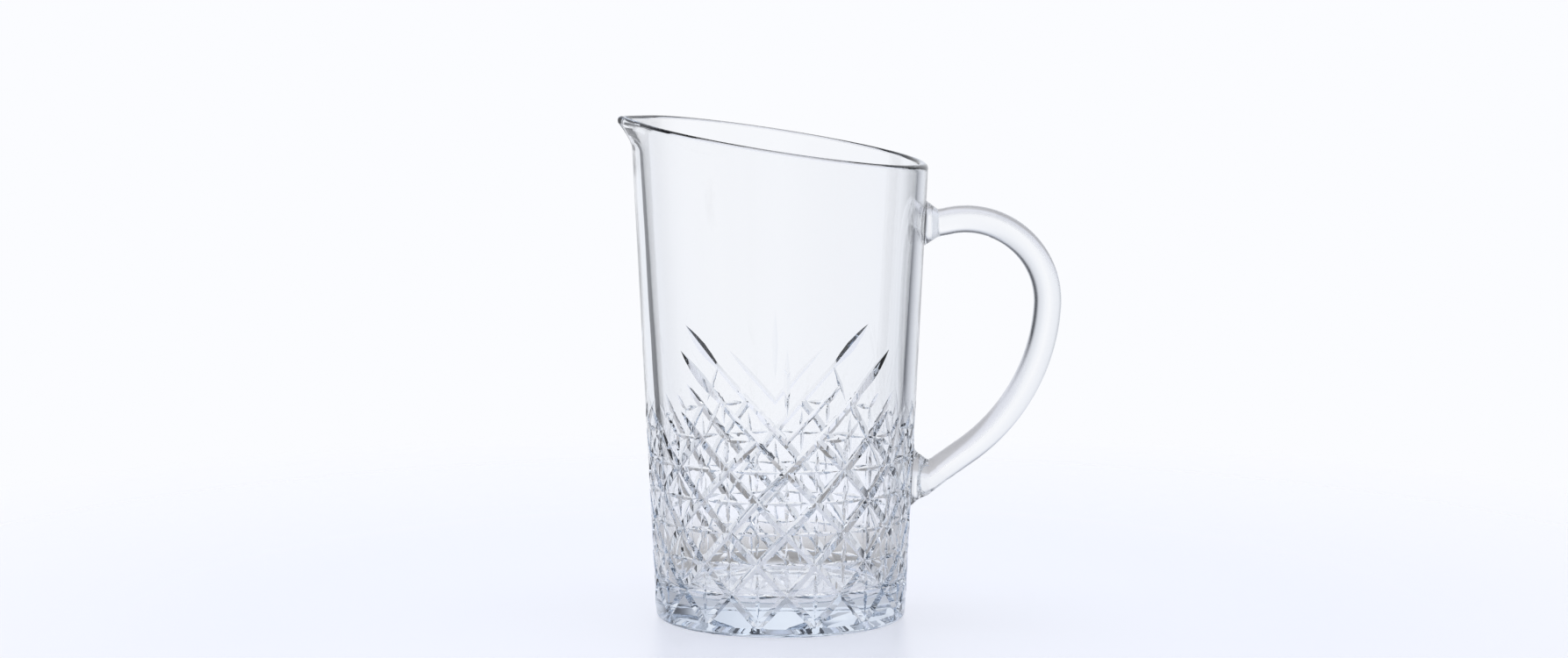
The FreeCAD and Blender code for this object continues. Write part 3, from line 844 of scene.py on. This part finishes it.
# %% [markdown]
# ## The bonds
#
# Glassmakers' clear adhesive, cured under a lamp, holds each foot. It is a sheet two tenths of a
# millimetre thick, so it needs hardly any colour of its own: it bends light as the glass does, and only
# its rim gives it away.

# %% Clear bonds
clear_bond = glass_material("cured clear adhesive", "#eef0ea", 2.0, 4.0, 0.004)
BOND_INSET, SKIN = 0.5, 0.04               # mm, edge inside the foot's edge; air left on both sides
FILM_CREASE = 40                           # degrees: the film's rim stays sharp


def make_bond(name, height, half_high, half_wide, node):
    """A thin oval sheet bent round the wall, behind a foot."""
    bond = bmesh.new()
    bmesh.ops.create_circle(bond, cap_ends=True, segments=48, radius=1.0)
    for _ in range(4):
        widest = max(bond.faces, key=lambda face: len(face.verts))
        bmesh.ops.inset_region(bond, faces=[widest], thickness=0.2)
    layer = bmesh.ops.extrude_face_region(bond, geom=bond.faces[:])["geom"]
    bmesh.ops.translate(bond, verts=among(layer, CORNER), vec=(0, 0, 1))
    for corner in bond.verts:
        across = corner.co.x * (half_wide - BOND_INSET)
        gap = SKIN + (BOND_GAP - 2 * SKIN) * corner.co.z
        corner.co = foot_at_wall(across, height + corner.co.y * (half_high - BOND_INSET), gap)
    bmesh.ops.recalc_face_normals(bond, faces=bond.faces)
    if bond.calc_volume(signed=True) < 0:  # a sheet this thin can come out of that inside out
        bmesh.ops.reverse_faces(bond, faces=bond.faces)
    bmesh.ops.scale(bond, vec=(MM, MM, MM), verts=bond.verts)
    piece = finished(bond, name, clear_bond, crease=FILM_CREASE)
    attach(piece, "root")
    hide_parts(node)


make_bond("upper_foot_bond", *UPPER_OVALS[-1][1:], "upper_bond")
make_bond("lower_foot_bond", *LOWER_OVALS[-1][1:], "lower_bond")

# %% [markdown]
# ## The studio
#
# Clear glass has hardly any look of its own. What the eye sees is the room, bent and folded by the
# glass, so the room matters as much as the shape does. Bar glassware is shown on a pale table in front
# of a bright wall, which makes the body glow. Darker flats out of view at the sides draw its outline as
# thin grey lines: the edge of a tube acts as a strong prism and brings them in. A lit card alone could
# not do that, and a room that is white all round makes the glass vanish. Every ray may cross many
# surfaces here, through the front cutting, the back cutting and both sides of the wall, so the number
# of bounces is set high enough that hardly any of them ends in black.

# %% A soft light from above
def area_light(name, size, power, place, aim, colour="#ffffff"):
    """A rectangular soft light that faces a point."""
    light = bpy.data.lights.new(name, "AREA")
    light.shape = "RECTANGLE"
    light.size, light.size_y = size
    light.energy = power
    light.color = linear(colour)[:3]
    lamp = bpy.data.objects.new(name, light)
    lamp.location = place
    lamp.rotation_euler = (Vector(aim) - Vector(place)).to_track_quat("-Z", "Y").to_euler()
    bpy.context.scene.collection.objects.link(lamp)
    return lamp


scene = bpy.context.scene
scene.view_settings.view_transform = "Standard"
scene.cycles.max_bounces = 24
scene.cycles.transmission_bounces = 24
scene.cycles.glossy_bounces = 12
OVERHEAD_SIZE, OVERHEAD_POWER = (1.6, 1.2), 5.0       # metres, watts
OVERHEAD_PLACE, OVERHEAD_AIM = (0.0, 0.2, 1.6), (0, 0, 0.05)
area_light("overhead", OVERHEAD_SIZE, OVERHEAD_POWER, OVERHEAD_PLACE, OVERHEAD_AIM)
print("a ray may bounce", scene.cycles.max_bounces, "times")

# %% [markdown]
# ## The room
#
# One table gives the room's brightness round the horizon and another gives it from the table up to the
# ceiling. The world is the product of both. Straight behind the jug it is nearly white. On the handle's
# side stands a dark flat, from 36 to 68 degrees round, which gives the rod of the handle its grey edges.
# The bright wall ends at about 30 degrees up, and the ceiling's edge above it is dim until 70 degrees,
# which shows in the curve of the handle's shoulder. The eye itself looks past all that at a plain pale
# backdrop. The dark flat is meant for edges and for the rod. Seen from the far side, through both walls
# of the jug, it would turn clear glass into smoked glass, so rays that have crossed three surfaces or
# more see it mostly filled in.

# %% Brightness by direction
def ramp(tree, stops, source):
    """The colour that a ramp through (position, hex) stops gives a source's value."""
    node = add_node(tree, "ShaderNodeValToRGB", inputs={"Fac": source})
    elements = node.color_ramp.elements
    elements[0].position, elements[0].color = stops[0][0], linear(stops[0][1])
    elements[1].position, elements[1].color = stops[-1][0], linear(stops[-1][1])
    for position, colour in stops[1:-1]:
        elements.new(position).color = linear(colour)
    return node.outputs["Color"]


# degrees from straight behind the jug, positive to the handle's side
ROOM = (
    (-180, "#e0e3ea"),
    (-135, "#d0d3da"),
    (-90, "#dfe2ea"),
    (-60, "#dcdfe6"),
    (-35, "#ebeef4"),
    (-12, "#f4f6fb"),
    (0, "#fbfcff"),
    (12, "#f4f6fb"),
    (20, "#e8ebf1"),
    (30, "#dcdfe6"),
    (36, "#c4c7ce"),
    (42, "#787b82"),
    (47, "#3c3f45"),
    (60, "#3c3f45"),
    (68, "#b4b7be"),
    (90, "#dfe2ea"),
    (135, "#d0d3da"),
    (180, "#e0e3ea"),
)
# degrees above the horizon
LAYERS = (
    (-90, "#e6e8ec"),
    (-20, "#ffffff"),
    (22, "#ffffff"),
    (29, "#eceef2"),
    (35, "#c8cad0"),
    (41, "#7c7e83"),
    (46, "#55575c"),
    (62, "#55575c"),
    (72, "#e4e6ea"),
    (90, "#ffffff"),
)
FILL_THROUGH = 0.6                         # how much of the room is filled in, seen through both walls
TWO_SURFACES = 2.5                         # a ray that has crossed more than two is past this
room_stops = [((degrees + 180) / 360, colour) for degrees, colour in ROOM]
layer_stops = [((math.sin(math.radians(degrees)) + 1) / 2, colour) for degrees, colour in LAYERS]
world = bpy.data.worlds.new("studio")
scene.world = world
tree = empty_tree(world)
way = add_node(tree, "ShaderNodeTexCoord")
parts = add_node(tree, "ShaderNodeSeparateXYZ", inputs={"Vector": way.outputs["Generated"]})
turn = maths(tree, "ARCTAN2", parts.outputs["X"], parts.outputs["Y"])
around_jug = ramp(tree, room_stops, ranged(tree, turn, -math.pi, math.pi))
upwards = ramp(tree, layer_stops, ranged(tree, parts.outputs["Z"], -1.0, 1.0))
room = add_node(tree, "ShaderNodeVectorMath", {"operation": "MULTIPLY"}, {0: around_jug, 1: upwards})
seen = add_node(tree, "ShaderNodeLightPath")
deep = maths(tree, "GREATER_THAN", seen.outputs["Transmission Depth"], TWO_SURFACES)
filling = maths(tree, "MULTIPLY", deep, FILL_THROUGH)
filled = mixed(tree, filling, room.outputs["Vector"], linear("#e4e7ee"), "LIGHTEN")
shown = mixed(tree, seen.outputs["Is Camera Ray"], filled, linear("#fbfcff"))
sky = add_node(tree, "ShaderNodeBackground", inputs={"Strength": 1.0, "Color": shown})
add_node(tree, "ShaderNodeOutputWorld", inputs={"Surface": sky.outputs["Background"]})
print("room of", len(ROOM), "directions and", len(LAYERS), "heights")

# %% [markdown]
# ## The table
#
# The table is a matt pale disc that lies a tenth of a millimetre below the glass. It has a painted glow:
# it gives off a little light of its own, though it is no lamp, in place of the light that the glass
# lets through onto it, and it fades into the backdrop, so that no edge of it is drawn through the glass.
# The thick base looks straight down through itself at a painted bright patch under it, and that gives the
# base its light blue. Round that patch lies a painted shadow: the table is dimmer for rays that come
# through the glass, and more so with every surface they cross. The painted shade is a little warmer too,
# so the cut facets that look down turn soft grey.

# %% The table, with painted light, painted shade and a painted glow
TABLE_RADIUS = 1.2                         # metres
FADE_FROM, FADE_TO = 0.20, 0.45            # metres from the jug where the table fades into the backdrop
PAINTED_GLOW = 0.50                                # strength of the painted glow, light that the table gives off though it is no lamp
CROSSINGS = 5.0                            # surfaces after which a ray sees the table at its dimmest, in painted shade
PAINTED_LIGHT_AND_SHADE = (                                  # metres from the axis, and how bright the table is there: painted light under the base, a painted shadow round it
    (0.048, "#ffffff"),
    (0.060, "#5c5c5c"),
    (0.110, "#888888"),
    (0.200, "#f0f0f0"),
)
floor_material = bpy.data.materials.new("pale table with painted shade and glow")
tree = empty_tree(floor_material)
spot = add_node(tree, "ShaderNodeTexCoord")
flat = add_node(tree, "ShaderNodeVectorMath", {"operation": "LENGTH"}, {0: spot.outputs["Object"]})
from_axis = flat.outputs["Value"]
crossed = add_node(tree, "ShaderNodeLightPath")
# painted shade: the more glass surfaces a ray has crossed, the more of the painted shadow ring it sees
shallow = ranged(tree, crossed.outputs["Transmission Depth"], 0.0, CROSSINGS, 1.0, 0.0)
lit = maths(tree, "MAXIMUM", ramp(tree, PAINTED_LIGHT_AND_SHADE, from_axis), shallow)
matt = add_node(tree, "ShaderNodeBsdfPrincipled", inputs={
    "Roughness": 0.35,
    # painted shade: where the table is less lit, its colour and its glow turn darker and warmer
    "Base Color": mixed(tree, lit, linear("#5e5648"), linear("#d3d6df")),
    "Emission Color": mixed(tree, lit, linear("#f6ead8"), linear("#f4f6ff")),
    # painted glow: the table gives off light of its own, weaker in its painted shade
    "Emission Strength": maths(tree, "MULTIPLY", lit, PAINTED_GLOW),
})
clear = add_node(tree, "ShaderNodeBsdfTransparent")
blend = add_node(tree, "ShaderNodeMixShader", inputs={
    "Fac": ranged(tree, from_axis, FADE_FROM, FADE_TO),
    1: matt.outputs["BSDF"],
    2: clear.outputs["BSDF"],
})
add_node(tree, "ShaderNodeOutputMaterial", inputs={"Surface": blend.outputs["Shader"]})
floor_mesh = bmesh.new()
bmesh.ops.create_circle(floor_mesh, cap_ends=True, segments=96, radius=TABLE_RADIUS)
floor = finished(floor_mesh, "floor", floor_material)
floor.location.z = -0.1 * MM

# %% [markdown]
# ## A black card beside the jug
#
# Glass on a white set needs one thing more: a narrow black card close to it, just out of view. On this
# set it stands behind the jug on the beak's side, where it draws the dark line down that edge of the
# wall. It is meant for the edges only, where light turns back inside the wall. So the card shows itself
# only to rays that have been inside the glass and were reflected at least once. For rays that go straight
# through, or over the lip and through the far wall, or by way of the table, it is not there.

# %% The card
CARD_SIZE = (0.078, 0.40)                  # metres, width and height
CARD_TURN, CARD_RISE = -50.6, 6.0          # degrees from straight behind the jug, and above level
CARD_DISTANCE = 0.237                      # metres from the axis
JUG_MIDDLE = Vector((0, 0, 0.07))          # metres, what the card faces
ONCE = 0.5                                 # a count that has reached one is past this
card_material = bpy.data.materials.new("black card")
tree = empty_tree(card_material)
history = add_node(tree, "ShaderNodeLightPath")
at_edge = maths(tree, "GREATER_THAN", history.outputs["Glossy Depth"], ONCE)
in_glass = maths(tree, "GREATER_THAN", history.outputs["Transmission Depth"], ONCE)
black_paint = {"Base Color": linear("#202226"), "Roughness": 0.6}
black = add_node(tree, "ShaderNodeBsdfPrincipled", inputs=black_paint)
open_air = add_node(tree, "ShaderNodeBsdfTransparent")
choice = add_node(tree, "ShaderNodeMixShader", inputs={
    "Fac": maths(tree, "MULTIPLY", at_edge, in_glass),
    1: open_air.outputs["BSDF"],
    2: black.outputs["BSDF"],
})
add_node(tree, "ShaderNodeOutputMaterial", inputs={"Surface": choice.outputs["Shader"]})


def black_card(name, turn, rise, distance, size):
    """A card that only the glass can see, facing the jug, by its direction from the jug's middle."""
    card_mesh = bmesh.new()
    bmesh.ops.create_grid(card_mesh, x_segments=2, y_segments=2, size=0.5)
    bmesh.ops.transform(card_mesh, matrix=Matrix.Diagonal((size[0], size[1], 1, 1)), verts=card_mesh.verts)
    card = finished(card_mesh, name, card_material)
    turn, rise = math.radians(turn), math.radians(rise)
    way = Vector((math.sin(turn) * math.cos(rise), math.cos(turn) * math.cos(rise), math.sin(rise)))
    card.location = JUG_MIDDLE + way * distance
    card.rotation_euler = (-way).to_track_quat("Z", "Y").to_euler()
    for kind in ("visible_camera", "visible_diffuse", "visible_shadow"):
        setattr(card, kind, False)


black_card("card_beside", CARD_TURN, CARD_RISE, CARD_DISTANCE, CARD_SIZE)

# %% [markdown]
# ## The camera
#
# A long lens from a good distance keeps the sides of the jug almost straight, and a camera seven degrees
# above level looks just over the low side of the mouth, so the whole ring of the lip shows. The camera
# stands a little to the beak's side.

# %% The camera
AIM_HEIGHT, AIM_ASIDE = 0.1062, 0.00123    # metres, where it looks
DISTANCE = 1.627                           # metres
PITCH, AZIMUTH = 7.37, -2.64               # degrees above level, and round from straight in front
LENS, SENSOR = 102.1, 36                   # mm
camera_data = bpy.data.cameras.new("camera")
camera_data.lens, camera_data.sensor_width = LENS, SENSOR
camera = bpy.data.objects.new("camera", camera_data)
pitch, azimuth = math.radians(PITCH), math.radians(AZIMUTH)
right = Vector((math.cos(azimuth), math.sin(azimuth), 0))
back = Vector((math.sin(azimuth) * math.cos(pitch), -math.cos(azimuth) * math.cos(pitch), math.sin(pitch)))
aim = Vector((0, 0, AIM_HEIGHT)) + right * AIM_ASIDE
camera.location = aim + back * DISTANCE
camera.rotation_euler = (-back).to_track_quat("-Z", "Y").to_euler()
scene.collection.objects.link(camera)
scene.camera = camera
print("camera", DISTANCE, "m from the jug,", PITCH, "degrees above level, lens", LENS, "mm")
